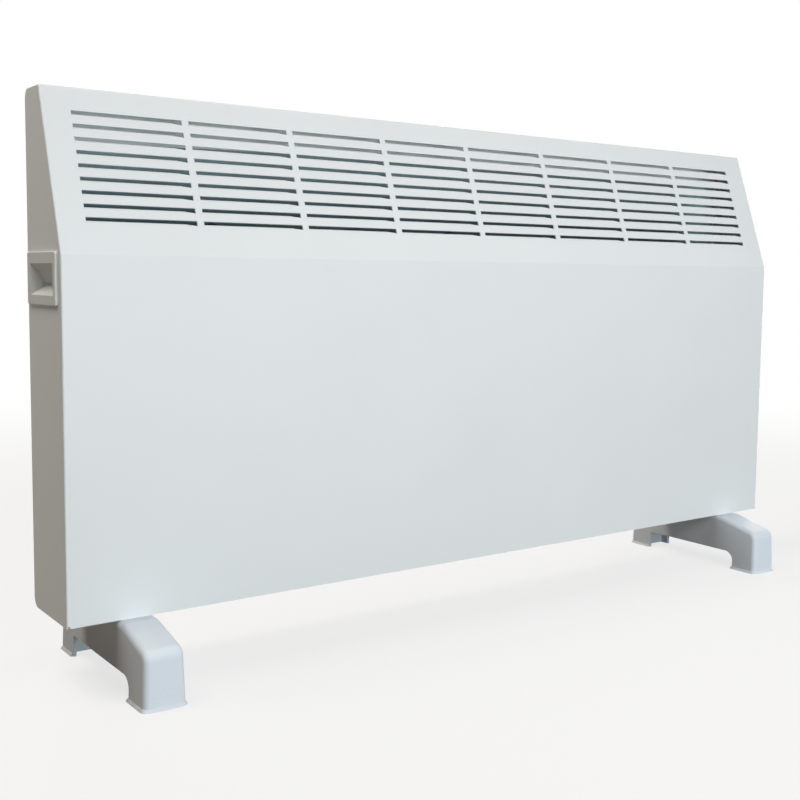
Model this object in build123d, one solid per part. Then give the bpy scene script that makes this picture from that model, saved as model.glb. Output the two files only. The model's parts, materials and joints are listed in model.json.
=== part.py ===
from build123d import *
from math import atan2, cos, hypot, radians, sin, tan
import os

# A wall panel convector heater that also stands on two moulded feet.  A folded steel case with a
# louvred slope at its top holds two finned heating elements.  Lengths are in millimetres, +Z is up,
# the front faces -Y, and the origin is on the floor, under the middle of the case and of the feet.

# Case
CASE_WIDTH = 800
CASE_DEPTH = 74
CASE_HEIGHT = 400
SHEET = 1.0
SHEET_FIT = 0.3
CUT_PAST = 1.0
TOLERANCE = 0.01
FRONT_Y = -34.25
BACK_Y = FRONT_Y + CASE_DEPTH
BOTTOM_Z = 54.5
TOP_Z = BOTTOM_Z + CASE_HEIGHT
FOLD_Z = BOTTOM_Z + 275
SLOPE_SETBACK = 43
SLOPE_TOP_Y = FRONT_Y + SLOPE_SETBACK
SLOPE_ANGLE = atan2(SLOPE_SETBACK, TOP_Z - FOLD_Z)
SIDE_X = CASE_WIDTH / 2
INNER_X = SIDE_X - SHEET
FOLD_RADIUS = 3
EDGE_RADIUS = 1.4
BACK_CORNER_RADIUS = 8
BOTTOM_RETURN = 12
TOP_FLANGE = 10
CORNER_NOTCH = 12
FLANGE_END_GAP = 3
BEND_RELIEF = 1.6

# Louvres: each slot is lanced along its top and ends, and the lip below it is turned inward
LOUVRE_COLUMNS = 8
LOUVRE_ROWS = 9
SLOT_LENGTH = 88.6
COLUMN_PITCH = 94.4
ROW_PITCH = 10.5
SLOT_OPENING = 5.0
LOWEST_SLOT = 24.1
LOUVRE_SHIFT = -3.3
LIP_REACH = 2.3
LIP_ANGLE = 28
LIP_BEND_RADIUS = 1.5
LIP_ROOT = 0.6
LIP_SHEAR_GAP = 0.12
LIP_TAPER_LENGTH = 8
LIP_TAPER_DEPTH = 1.1

# Back panel
KEYHOLE_SPACING = 600
KEYHOLE_Z = TOP_Z - 75
KEYHOLE_RADIUS = 5
KEYHOLE_SLOT = 5
KEYHOLE_TRAVEL = 10
SWAGE_LENGTH = 640
SWAGE_WIDTH = 18
SWAGE_DEPTH = 2.5
SWAGE_ANGLE = 45
PRESSING_FIT = 0.4
SWAGE_HEIGHTS = (BOTTOM_Z + 80, BOTTOM_Z + 170, BOTTOM_Z + 260)
BACK_SCREW_XS = (-352, -117, 117, 352)
BACK_SCREW_ZS = (TOP_Z - 6.5, BOTTOM_Z + 9)
BACK_SCREW_RADIUS = 1.5
BACK_SCREW_LENGTH = 7
BACK_SCREW_HOLE = 2
BACK_SCREW_PILOT = 1.6

# Bottom plate and cable bush
INLET_COUNT = 60
INLET_PITCH = 10.5
INLET_WIDTH = 5
INLET_LENGTH = 44
INLET_Y = FRONT_Y + 40
REAR_FLANGE = 14
CABLE_BUSH_X = 380
CABLE_BUSH_Y = FRONT_Y + 52
CABLE_BUSH_BORE = 4
BUSH_NECK_RADIUS = 6.5
BUSH_HEAD_RADIUS = 9
BUSH_HEAD_DEPTH = 3
BUSH_BARB_RADII = (7.6, 6)
BUSH_BARB_HEIGHT = 8

# Side grips: a proud frame round a trough that narrows to a deep line
GRIP_FRONT_Y = FRONT_Y + 7
GRIP_LENGTH = 63
GRIP_HEIGHT = 39.5
GRIP_TOP_Z = FOLD_Z + 2
GRIP_PROUD = 2
GRIP_WALL = 2
GRIP_CORNER_RADIUS = 2
GRIP_EDGE_RADIUS = 0.6
GRIP_Y = GRIP_FRONT_Y + GRIP_LENGTH / 2
GRIP_Z = GRIP_TOP_Z - GRIP_HEIGHT / 2
TROUGH_LENGTH = 51
TROUGH_HEIGHT = 23.6
TROUGH_Y = GRIP_Y - 1.1
TROUGH_TOP_Z = GRIP_TOP_Z - 8.5
TROUGH_Z = TROUGH_TOP_Z - TROUGH_HEIGHT / 2
TROUGH_DEPTH = 11.5
DEEP_LINE = 1.6
DEEP_LINE_DROP = 16.5
WINDOW_CLEARANCE = 0.4
WINDOW_RADIUS = 1
HOOK_OFFSET = 14
HOOK_WIDTH = 8
HOOK_LENGTH = 5
HOOK_STEM = (0.3, 1.9)
HOOK_BARB = (0.4, -1.2)
HOOK_GRIP_GAP = 0.2

# Control panel, on the right side
PANEL_HEIGHT = 112
PANEL_Z = 222
PANEL_RIM = 4.5
PANEL_RECESS = 3.5
PANEL_FLOOR = 2.5
PANEL_SKIRT = 16
PANEL_CORNER_RADIUS = 3
PANEL_EDGE_RADIUS = 0.8
RECESS_RADIUS = 2
PANEL_OVERLAP = 2
SKIRT_FIT = 0.4
SKIRT_WALL = 2.1
PANEL_FACE_X = SIDE_X + GRIP_PROUD - PANEL_RECESS
PANEL_BACK_X = PANEL_FACE_X - PANEL_FLOOR
CLIP_ZS = (PANEL_Z - 30, PANEL_Z + 30)
CLIP_LENGTH = 10
CLIP_DEPTH = 3.9
CLIP_FIT = 0.1
CLIP_THICKNESS = 2.4

# Thermostat and knob
KNOB_Z = 248
KNOB_RADIUS = 17
KNOB_SKIRT = 2.5
KNOB_BODY_RADIUS = KNOB_RADIUS - 2
KNOB_DRAFT = 4
KNOB_EDGE_RADIUS = 1.2
KNOB_BASE_X = PANEL_FACE_X + 0.7
KNOB_TOP_X = KNOB_BASE_X + 11.5
KNOB_ROOF = 2.8
KNOB_FLUTES = 14
FLUTE_RADIUS = 2.4
FLUTE_CENTRE_RADIUS = KNOB_RADIUS - 0.4
POINTER_WIDTH = 1.4
POINTER_DEPTH = 0.8
POINTER_REACH = (3, 13)
SHAFT_RADIUS = 3
SHAFT_FLAT = 2.1
SHAFT_TIP_GAP = 3
SHAFT_START_X = PANEL_BACK_X - 15
KNOB_FIT = 0.03
RUNNING_CLEARANCE = 0.05
THERMOSTAT_SIZE = 32
THERMOSTAT_DEPTH = 22
THERMOSTAT_BORE_DEPTH = 17
THERMOSTAT_NECK = 4.8
THERMOSTAT_CORNER = 2
NECK_HOLE = 5
THERMOSTAT_SCREW_YS = (GRIP_Y - 12, GRIP_Y + 12)
THERMOSTAT_SCREW_RADIUS = 1.4
THERMOSTAT_SCREW_DEPTH = 7
BLADE = 0.8
BLADE_LENGTH = 8
THERMOSTAT_BLADE_WIDTH = 6
THERMOSTAT_BLADE_ZS = (KNOB_Z - 9, KNOB_Z + 9)

# Switches
SWITCH_Z = 190
SWITCH_YS = (GRIP_Y - 12, GRIP_Y + 12)
SWITCH_WIDTH = 13.4
SWITCH_HEIGHT = 20.8
SWITCH_DEPTH = 18
SWITCH_CUTOUT_FIT = 0.2
BEZEL_WIDTH = 16.4
BEZEL_HEIGHT = 24
BEZEL_PROUD = 1.6
WELL_WIDTH = 11.2
ROCKER_WIDTH = 10.8
ROCKER_RADIUS = 9.1
ROCKER_CLEARANCE = 0.3
ROCKER_TILT = 10
ROCKER_CROWN = 5.2
ROCKER_BACK = 3.5
PIVOT_RADIUS = 1.2
PIVOT_LENGTH = 12.4
PIVOT_SOCKET = 12.6
PIVOT_X = PANEL_FACE_X - 2
TAB_WIDTH = 4.8
TAB_ZS = (SWITCH_Z - 6, SWITCH_Z + 6)

# Heating elements
HEATER_LENGTH = 630
HEATER_Y = FRONT_Y + 36
HEATER_ZS = (108, 158)
HEATER_HUB_RADIUS = 8
HEATER_CORE_RADIUS = 4
CORE_FIT = 0.1
ARM_SPAN = 54
ARM_THICKNESS = 3
ARM_LEAN = 37.7
FIN_YS = (-21, -16.5, -12, 12, 16.5, 21)
FIN_THICKNESS = 1.6
FIN_HEIGHT = 9.4
BRACKET_X = HEATER_LENGTH / 2 + 10
BRACKET_MARGIN = 25
BRACKET_FRONT_Y = HEATER_Y - 24
BRACKET_CORNER_RADIUS = 10
BRACKET_FLANGE = 11
BRACKET_WINDOW = (22, 14, 4)
BRACKET_SCREW_X = BRACKET_X + 6
BRACKET_SCREW_ZS = (HEATER_ZS[0] - 18, HEATER_ZS[1] + 18)
BRACKET_SCREW_RADIUS = 1.9
BRACKET_SCREW_LENGTH = 5.5
BRACKET_SCREW_HOLE = 2
CORE_OVERHANG = 4
PIN_RADIUS = 1.6
PIN_LENGTH = 6
CERAMIC_FLANGE = (5, 11)
CERAMIC_NECK = (2.5, 8)
CERAMIC_HOLE_FIT = 0.2

# Heat shield, partition and what they carry
SHIELD_GAP = 7
SHIELD_Y = BACK_Y - SHEET - SHIELD_GAP
SHIELD_FRONT_Y = SHIELD_Y - SHEET
SHIELD_LOW_Z = BOTTOM_Z + 17
SHIELD_TOP_Z = 423
SHIELD_END_X = 386
SHIELD_TAPER_LENGTH = 320
SHIELD_TAPER_DROP = 7
SHIELD_PAD_RADIUS = 14
SHIELD_PAD_ANGLE = 45
SHIELD_PAD_XS = (-250, 0, 250)
SHIELD_PAD_ZS = (95, 345)
PARTITION_X = 338
PARTITION_TOP_Z = 300
PARTITION_FOOT_Z = BOTTOM_Z + 3
PARTITION_FLANGE = 12
PARTITION_FLANGE_Z = BOTTOM_Z + 22
CUTOUT_X = 60
CUTOUT_Z = 196
CUTOUT_RADIUS = 8
CUTOUT_DEPTH = 8
CUTOUT_PLATE = (26, 8)
CUTOUT_BLADE_WIDTH = 6
CUTOUT_BLADE_OFFSET = 5
TERMINAL_Z = 96
TERMINAL_BASE = (8, 36, 24)
TERMINAL_TOWER = (8, 9, 18)
TERMINAL_YS = (-12, 0, 12)
TERMINAL_WELL_ZS = (91, 101)
TERMINAL_WELL = (7, 2.2)
TILT_Z = 141
TILT_BODY = (12, 18, 26)
TILT_EAR = (2, 30, 10)
TILT_CORNER = 2

# Pan heads of all screws: their radius, height and edge rounding, in shank radii
HEAD_RADIUS = 2
HEAD_HEIGHT = 0.9
HEAD_ROUNDING = 0.5

# Feet
FOOT_X = 346.4
FOOT_WIDTH = 34
FOOT_LENGTH = 178
FOOT_CORNER_RADIUS = 5
FOOT_DRAFT = 1.75
FOOT_WALL = 3
KNEE_Z = 43
KNEE_RADIUS = 9
CROWN_Y = 43.25
ARCH_Y = 59.5
ARCH_Z = 18
ARCH_FRONT_RADIUS = 10
ARCH_REAR_RADIUS = 2
LIP = 1.6
LIP_HEIGHT = 2.2
LIP_FLARE = 32
RIB_Y = ARCH_Y + 10
RIB_THICKNESS = 2
RIB_BOTTOM_Z = 0.5
BOSS_BOTTOM_Z = 42
BOSS_RADIUS = 6
LEVELLER = (18, 16)
FOOT_SCREW_YS = (FRONT_Y + 7, FRONT_Y + 62)
FOOT_SCREW_RADIUS = 2
FOOT_SCREW_HOLE = 2.3
FOOT_SCREW_LENGTH = 19
NUT_RADIUS = 4
NUT_HEIGHT = 3.2
NUT_BORE = 2.05


def block(x0, x1, y0, y1, z0, z1):
    """A box between two corners."""
    return Pos((x0 + x1) / 2, (y0 + y1) / 2, (z0 + z1) / 2) * Box(x1 - x0, y1 - y0, z1 - z0)


def rod(start, axis, length, radius):
    """A round bar from a point, along +X, +Y or +Z."""
    turn = {"x": Rot(0, 90, 0), "y": Rot(-90, 0, 0), "z": Rot(0, 0, 0)}[axis]
    upright = Cylinder(radius, length, align=(Align.CENTER, Align.CENTER, Align.MIN))
    return Pos(*start) * turn * upright


def across(points, x0, x1):
    """A prism along X, whose outline is given as (y, z) points."""
    outline = Plane.YZ.offset(x0) * Polygon(*points, align=None)
    return extrude(outline, amount=x1 - x0, dir=(1, 0, 0))


def along(points, y0, y1):
    """A prism along Y, whose outline is given as (x, z) points."""
    outline = Plane.XZ.offset(-y1) * Polygon(*points, align=None)
    return extrude(outline, amount=y1 - y0, dir=(0, -1, 0))


def strip(points, thickness):
    """The outline of a bent sheet: its line of (y, z) points, and that line moved to its left."""
    normals = []
    for (y0, z0), (y1, z1) in zip(points, points[1:]):
        run = hypot(y1 - y0, z1 - z0)
        normals.append((-(z1 - z0) / run, (y1 - y0) / run))
    moved = []
    for i, (y, z) in enumerate(points):
        before = normals[max(i - 1, 0)]
        after = normals[min(i, len(normals) - 1)]
        share = thickness / (1 + before[0] * after[0] + before[1] * after[1])
        moved.append((y + share * (before[0] + after[0]), z + share * (before[1] + after[1])))
    return points + moved[::-1]


def side_rectangle(x, y, z, length, height, radius):
    """A rounded rectangle facing +X, length along Y and height along Z."""
    frame = Plane(origin=(x, y, z), x_dir=(0, 1, 0), z_dir=(1, 0, 0))
    return frame * RectangleRounded(length, height, radius)


def edges_at(shape, x):
    """The edges that lie in the plane at x."""
    return [e for e in shape.edges() if abs(e.center().X - x) < TOLERANCE]


def pan_screw(x, y, z, axis, length, radius):
    """A pan-head screw whose head seats at the point, with its shank along the axis."""
    size = (HEAD_RADIUS * radius, HEAD_HEIGHT * radius)
    head = Cylinder(*size, align=(Align.CENTER, Align.CENTER, Align.MAX))
    head = fillet(head.edges().sort_by(Axis.Z)[:1], HEAD_ROUNDING * radius)
    screw = head + Cylinder(radius, length, align=(Align.CENTER, Align.CENTER, Align.MIN))
    turn = {"+z": Rot(0, 0, 0), "-y": Rot(90, 0, 0), "+y": Rot(-90, 0, 0)}[axis]
    return Pos(x, y, z) * turn * screw


def case_outline(inset, back):
    """The side view of the case, moved inward by the inset, up to a back plane."""
    fold_shift = inset * tan(SLOPE_ANGLE / 2)
    top_shift = inset * tan((radians(90) - SLOPE_ANGLE) / 2)
    return [
        (FRONT_Y + inset, BOTTOM_Z + inset),
        (FRONT_Y + inset, FOLD_Z - fold_shift),
        (SLOPE_TOP_Y + top_shift, TOP_Z - inset),
        (back, TOP_Z - inset),
        (back, BOTTOM_Z + inset),
    ]


def case_shell():
    """The folded sheet before it is pierced: rounded outside, open at the back."""
    outline = Polygon(*case_outline(0, BACK_Y), align=None)
    folds = [v for v in outline.vertices() if v.Y > FOLD_Z - 1 and v.X < BACK_Y - 1]
    outline = fillet(folds, FOLD_RADIUS)
    shell = extrude(Plane.YZ.offset(-SIDE_X) * outline, amount=CASE_WIDTH, dir=(1, 0, 0))
    ends = edges_at(shell, -SIDE_X) + edges_at(shell, SIDE_X)
    ends = [e for e in ends if e.center().Y < BACK_Y - 1 and e.center().Z > BOTTOM_Z + 1]
    shell = fillet(ends, EDGE_RADIUS)
    return shell - across(case_outline(SHEET, BACK_Y + CUT_PAST), -INNER_X, INNER_X)


def back_corner_cutter(end):
    """What rounds the two rear corners of one side wall, with a notch in the top fold beside it."""
    centre_y = BACK_Y - BACK_CORNER_RADIUS
    x0, x1 = sorted((end * (SIDE_X + CUT_PAST), end * (SIDE_X - CORNER_NOTCH)))
    cutter = Part()
    for corner_z, inward in ((TOP_Z, -1), (BOTTOM_Z, 1)):
        centre_z = corner_z + inward * BACK_CORNER_RADIUS
        low, high = sorted((centre_z, corner_z - inward * CUT_PAST))
        corner = block(x0, x1, centre_y, BACK_Y + CUT_PAST, low, high)
        cutter += corner - rod((x0, centre_y, centre_z), "x", x1 - x0, BACK_CORNER_RADIUS)
    return cutter


def louvre_positions():
    """The left lower corner of every slot, along the case and up the slope from the fold."""
    left = LOUVRE_SHIFT - ((LOUVRE_COLUMNS - 1) * COLUMN_PITCH + SLOT_LENGTH) / 2
    for column in range(LOUVRE_COLUMNS):
        for row in range(LOUVRE_ROWS):
            yield left + column * COLUMN_PITCH, LOWEST_SLOT + row * ROW_PITCH


def louvre_slots():
    """The openings, cut square through the slope."""
    outward = (0, -cos(SLOPE_ANGLE), sin(SLOPE_ANGLE))
    slope = Plane(origin=(0, FRONT_Y, FOLD_Z), x_dir=(1, 0, 0), z_dir=outward)
    corner = (Align.MIN, Align.MIN)
    slots = [Pos(x, u) * Rectangle(SLOT_LENGTH, SLOT_OPENING, align=corner) for x, u in louvre_positions()]
    return extrude(slope * Sketch(children=slots), amount=2 * SHEET, both=True)


def louvre_lip():
    """The lip of one slot, drawn at its left end: a strip bent on a radius, whose right end runs out."""
    start = (LIP_SHEAR_GAP, FRONT_Y, FOLD_Z)
    up_slope = (0, sin(SLOPE_ANGLE), cos(SLOPE_ANGLE))
    middle = LIP_BEND_RADIUS + SHEET / 2
    root = Line((-LIP_ROOT, -SHEET / 2), (0, -SHEET / 2))
    bend = JernArc(start=root @ 1, tangent=(1, 0), radius=middle, arc_size=-LIP_ANGLE)
    flat = Line(bend @ 1, bend @ 1 + (LIP_REACH - middle * radians(LIP_ANGLE)) * (bend % 1))
    section = Plane(origin=start, x_dir=up_slope, z_dir=(1, 0, 0)) * trace(root + bend + flat, SHEET)
    length = SLOT_LENGTH - 2 * LIP_SHEAR_GAP
    lip = extrude(section, amount=length, dir=(1, 0, 0))
    reach = (flat @ 1).X
    taper_start = length - LIP_TAPER_LENGTH
    taper_end = reach - LIP_TAPER_DEPTH
    beyond_reach = reach + SHEET
    beyond_end = length + CUT_PAST
    corner = Polygon(
        (reach, taper_start),
        (taper_end, length),
        (taper_end, beyond_end),
        (beyond_reach, beyond_end),
        (beyond_reach, taper_start),
        align=None,
    )
    face = Plane(origin=start, x_dir=up_slope, z_dir=(0, cos(SLOPE_ANGLE), -sin(SLOPE_ANGLE)))
    return lip - extrude(face * corner, amount=LIP_REACH + SHEET, both=True)


def front_panel():
    """Front, louvred slope, both sides and the top and bottom folds, from one sheet."""
    panel = case_shell()
    open_y = FRONT_Y + BOTTOM_RETURN
    panel -= block(-INNER_X, INNER_X, open_y, BACK_Y + CUT_PAST, BOTTOM_Z - CUT_PAST, BOTTOM_Z + 1.5 * SHEET)
    rear_y = BACK_Y - SHEET
    panel -= block(-INNER_X, INNER_X, rear_y, BACK_Y + CUT_PAST, TOP_Z - 2 * SHEET, TOP_Z + CUT_PAST)
    flange_x = SIDE_X - CORNER_NOTCH - FLANGE_END_GAP
    flange_z = TOP_Z - SHEET - TOP_FLANGE
    flange = block(-flange_x, flange_x, rear_y - SHEET, rear_y, flange_z, TOP_Z - SHEET / 2)
    for x in BACK_SCREW_XS:
        flange -= rod((x, BACK_Y - 5 * SHEET, BACK_SCREW_ZS[0]), "y", 6 * SHEET, BACK_SCREW_PILOT)
    panel += flange
    for end in (-1, 1):
        panel -= back_corner_cutter(end)
        x0, x1 = sorted((end * (INNER_X + SHEET_FIT / 3), end * (INNER_X - BEND_RELIEF)))
        panel -= block(x0, x1, FRONT_Y - CUT_PAST, open_y, BOTTOM_Z - CUT_PAST, BOTTOM_Z + BEND_RELIEF)
        spread = 2 * (GRIP_WALL + WINDOW_CLEARANCE)
        size = (TROUGH_LENGTH + spread, TROUGH_HEIGHT + spread)
        window = side_rectangle(end * SIDE_X, TROUGH_Y, TROUGH_Z, *size, WINDOW_RADIUS)
        panel -= extrude(window, amount=4 * SHEET, both=True)
        panel -= rod((end * FOOT_X, FOOT_SCREW_YS[0], BOTTOM_Z - CUT_PAST), "z", 3 * SHEET, FOOT_SCREW_HOLE)
    size = (GRIP_LENGTH - 2 * PANEL_OVERLAP, PANEL_HEIGHT - 2 * PANEL_OVERLAP)
    window = side_rectangle(SIDE_X, GRIP_Y, PANEL_Z, *size, PANEL_CORNER_RADIUS)
    panel -= extrude(window, amount=4 * SHEET, both=True)
    panel -= louvre_slots()
    lip = louvre_lip()
    rise = (sin(SLOPE_ANGLE), cos(SLOPE_ANGLE))
    panel += [Pos(x, u * rise[0], u * rise[1]) * lip for x, u in louvre_positions()]
    return panel


def swage(length, width, y):
    """A long round-ended stiffening swage, pressed toward the front from a plane facing +Y."""
    face = Plane(origin=(0, y, 0), x_dir=(1, 0, 0), z_dir=(0, -1, 0)) * SlotOverall(length, width)
    return extrude(face, amount=SWAGE_DEPTH, taper=SWAGE_ANGLE)


def keyhole(x):
    """A wall screw's head enters below, and its neck slides up the slot."""
    y0 = BACK_Y - SHEET - CUT_PAST
    y1 = BACK_Y + CUT_PAST
    neck = KEYHOLE_SLOT / 2
    top_z = KEYHOLE_Z + KEYHOLE_TRAVEL
    hole = rod((x, y0, KEYHOLE_Z), "y", y1 - y0, KEYHOLE_RADIUS)
    hole += block(x - neck, x + neck, y0, y1, KEYHOLE_Z, top_z)
    return hole + rod((x, y0, top_z), "y", y1 - y0, neck)


def back_panel():
    """A flat sheet between the side walls, stiffened by three swages, with two keyholes."""
    half = INNER_X - SHEET_FIT
    panel = block(-half, half, BACK_Y - SHEET, BACK_Y, BOTTOM_Z + 1.5 * SHEET, TOP_Z - SHEET_FIT)
    raised = swage(SWAGE_LENGTH, SWAGE_WIDTH, BACK_Y - SHEET)
    sunk = swage(SWAGE_LENGTH - 2 * PRESSING_FIT, SWAGE_WIDTH - 2 * PRESSING_FIT, BACK_Y)
    for z in SWAGE_HEIGHTS:
        panel = panel + Pos(0, 0, z) * raised - Pos(0, 0, z) * sunk
    for end in (-1, 1):
        panel -= keyhole(end * KEYHOLE_SPACING / 2)
        panel -= back_corner_cutter(end)
    for x in BACK_SCREW_XS:
        for z in BACK_SCREW_ZS:
            panel -= rod((x, BACK_Y - 2 * SHEET, z), "y", 3 * SHEET, BACK_SCREW_HOLE)
    return panel


def bottom_plate():
    """The base, pierced by the air inlet slots and turned up at its rear edge."""
    half = INNER_X - SHEET_FIT
    low = BOTTOM_Z + SHEET
    rear = BACK_Y - SHEET
    bend = [(FRONT_Y + SHEET + SHEET_FIT, low), (rear, low), (rear, low + REAR_FLANGE)]
    plate = across(strip(bend, SHEET), -half, half)
    first = -(INLET_COUNT - 1) * INLET_PITCH / 2
    inlet = Rectangle(INLET_WIDTH, INLET_LENGTH)
    inlets = [Pos(first + i * INLET_PITCH, INLET_Y) * inlet for i in range(INLET_COUNT)]
    plate -= extrude(Plane.XY.offset(low - SHEET) * Sketch(children=inlets), amount=3 * SHEET)
    for end in (-1, 1):
        for y in FOOT_SCREW_YS:
            plate -= rod((end * FOOT_X, y, low - SHEET), "z", 3 * SHEET, FOOT_SCREW_HOLE)
    for x in BACK_SCREW_XS:
        plate -= rod((x, BACK_Y - 4 * SHEET, BACK_SCREW_ZS[1]), "y", 4 * SHEET, BACK_SCREW_PILOT)
    neck_hole = BUSH_NECK_RADIUS + CORE_FIT
    return plate - rod((CABLE_BUSH_X, CABLE_BUSH_Y, low - SHEET), "z", 3 * SHEET, neck_hole)


def cable_bush():
    """The snap-in bush that the supply cable passes through."""
    low = BOTTOM_Z + SHEET
    bush = rod((CABLE_BUSH_X, CABLE_BUSH_Y, low - BUSH_HEAD_DEPTH), "z", BUSH_HEAD_DEPTH, BUSH_HEAD_RADIUS)
    bush += rod((CABLE_BUSH_X, CABLE_BUSH_Y, low), "z", SHEET, BUSH_NECK_RADIUS)
    barb = Cone(*BUSH_BARB_RADII, BUSH_BARB_HEIGHT, align=(Align.CENTER, Align.CENTER, Align.MIN))
    bush += Pos(CABLE_BUSH_X, CABLE_BUSH_Y, low + SHEET) * barb
    depth = BUSH_HEAD_DEPTH + BUSH_BARB_HEIGHT + SHEET + 2 * CUT_PAST
    start = (CABLE_BUSH_X, CABLE_BUSH_Y, low - BUSH_HEAD_DEPTH - CUT_PAST)
    return bush - rod(start, "z", depth, CABLE_BUSH_BORE)


def shield_pad(x, z, y, radius):
    """A round pad pressed backward from a plane facing -Y, as a solid."""
    face = Plane(origin=(x, y, z), x_dir=(1, 0, 0), z_dir=(0, 1, 0))
    return extrude(face * Circle(radius), amount=SHIELD_GAP, taper=SHIELD_PAD_ANGLE)


def heat_shield():
    """A flat sheet behind the elements, held off the back panel by its pressed pads."""
    shield = block(-SHIELD_END_X, SHIELD_END_X, SHIELD_FRONT_Y, SHIELD_Y, SHIELD_LOW_Z, SHIELD_TOP_Z)
    step_z = PARTITION_TOP_Z + 2 * SHEET
    shield -= block(PARTITION_X - SHEET, SIDE_X, SHIELD_FRONT_Y - CUT_PAST, BACK_Y, BOTTOM_Z, step_z)
    corner = [
        (-SHIELD_END_X, SHIELD_TOP_Z - SHIELD_TAPER_DROP),
        (-SHIELD_END_X, SHIELD_TOP_Z),
        (-SHIELD_END_X + SHIELD_TAPER_LENGTH, SHIELD_TOP_Z),
    ]
    start_y = SHIELD_FRONT_Y - CUT_PAST
    shield -= along(corner, start_y, BACK_Y)
    for x in SHIELD_PAD_XS:
        for z in SHIELD_PAD_ZS:
            shield += shield_pad(x, z, SHIELD_Y, SHIELD_PAD_RADIUS)
            shield -= shield_pad(x, z, SHIELD_FRONT_Y, SHIELD_PAD_RADIUS - PRESSING_FIT)
    for end in (-1, 1):
        for z in BRACKET_SCREW_ZS:
            shield -= rod((end * BRACKET_SCREW_X, start_y, z), "y", 4 * SHEET, BRACKET_SCREW_HOLE)
    return shield


def partition():
    """The wall between the warm air duct and the wiring space behind the controls."""
    rear = BACK_Y - 2 * SHEET
    front = FRONT_Y + 2 * SHEET
    plate_x = PARTITION_X + SHEET
    plate = block(PARTITION_X, plate_x, front, rear, PARTITION_FOOT_Z, PARTITION_TOP_Z)
    flange_x = PARTITION_X + PARTITION_FLANGE
    return plate + block(PARTITION_X, flange_x, rear, rear + SHEET, PARTITION_FLANGE_Z, PARTITION_TOP_Z)


def heater_profile():
    """A cast element's section: a hub, four arms in an X, and short fins across each arm."""
    arms = []
    for side in (1, -1):
        arms.append(Rot(0, 0, side * ARM_LEAN) * Rectangle(ARM_SPAN, ARM_THICKNESS))
        for y in FIN_YS:
            arms.append(Pos(y, side * y * tan(radians(ARM_LEAN))) * Rectangle(FIN_THICKNESS, FIN_HEIGHT))
    return Circle(HEATER_HUB_RADIUS) + arms - Circle(HEATER_CORE_RADIUS + CORE_FIT)


def heater(z):
    """One finned aluminium element."""
    frame = Plane(origin=(-HEATER_LENGTH / 2, HEATER_Y, z), x_dir=(0, 1, 0), z_dir=(1, 0, 0))
    return extrude(frame * heater_profile(), amount=HEATER_LENGTH)


def heater_core(z):
    """The steel tube through an element, with a thinner terminal pin at each end."""
    half = BRACKET_X + CORE_OVERHANG
    pin_half = half + PIN_LENGTH
    core = rod((-half, HEATER_Y, z), "x", 2 * half, HEATER_CORE_RADIUS)
    return core + rod((-pin_half, HEATER_Y, z), "x", 2 * pin_half, PIN_RADIUS)


def heater_bracket(end):
    """A plate across one end of both elements, with a rear flange against the heat shield."""
    x0, x1 = sorted((end * BRACKET_X, end * (BRACKET_X + SHEET)))
    low, high = HEATER_ZS[0] - BRACKET_MARGIN, HEATER_ZS[1] + BRACKET_MARGIN
    plate = block(x0, x1, BRACKET_FRONT_Y, SHIELD_FRONT_Y, low, high)
    front_edges = [e for e in plate.edges().filter_by(Axis.X) if e.center().Y < HEATER_Y]
    plate = fillet(front_edges, BRACKET_CORNER_RADIUS)
    flange_x0, flange_x1 = sorted((end * BRACKET_X, end * (BRACKET_X + BRACKET_FLANGE)))
    plate += block(flange_x0, flange_x1, SHIELD_FRONT_Y - SHEET, SHIELD_FRONT_Y, low, high)
    for z in HEATER_ZS:
        plate -= rod((x0 - CUT_PAST, HEATER_Y, z), "x", 3 * SHEET, CERAMIC_NECK[1] + CERAMIC_HOLE_FIT)
    window = side_rectangle(x0, HEATER_Y, sum(HEATER_ZS) / 2, *BRACKET_WINDOW)
    plate -= extrude(window, amount=3 * SHEET, both=True)
    start_y = SHIELD_FRONT_Y - 3 * SHEET
    for z in BRACKET_SCREW_ZS:
        plate -= rod((end * BRACKET_SCREW_X, start_y, z), "y", 4 * SHEET, BRACKET_SCREW_HOLE)
    return plate


def ceramic_bushes():
    """Four insulators that centre the element cores in the brackets."""
    flange_length, flange_radius = CERAMIC_FLANGE
    neck_length, neck_radius = CERAMIC_NECK
    bushes = Part()
    for z in HEATER_ZS:
        for end in (-1, 1):
            flange_x = min(end * (BRACKET_X - flange_length), end * BRACKET_X)
            neck_x = min(end * BRACKET_X, end * (BRACKET_X + neck_length))
            bush = rod((flange_x, HEATER_Y, z), "x", flange_length, flange_radius)
            bush += rod((neck_x, HEATER_Y, z), "x", neck_length, neck_radius)
            bore_x = min(flange_x, neck_x) - CUT_PAST
            bore_length = flange_length + neck_length + 2 * CUT_PAST
            bushes += bush - rod((bore_x, HEATER_Y, z), "x", bore_length, HEATER_CORE_RADIUS + CORE_FIT)
    return bushes


def bracket_screws():
    """Four screws that hold the element brackets on the shield."""
    y = SHIELD_FRONT_Y - SHEET
    places = [(end * BRACKET_SCREW_X, z) for end in (-1, 1) for z in BRACKET_SCREW_ZS]
    return Part() + [pan_screw(x, y, z, "+y", BRACKET_SCREW_LENGTH, BRACKET_SCREW_RADIUS) for x, z in places]


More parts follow.
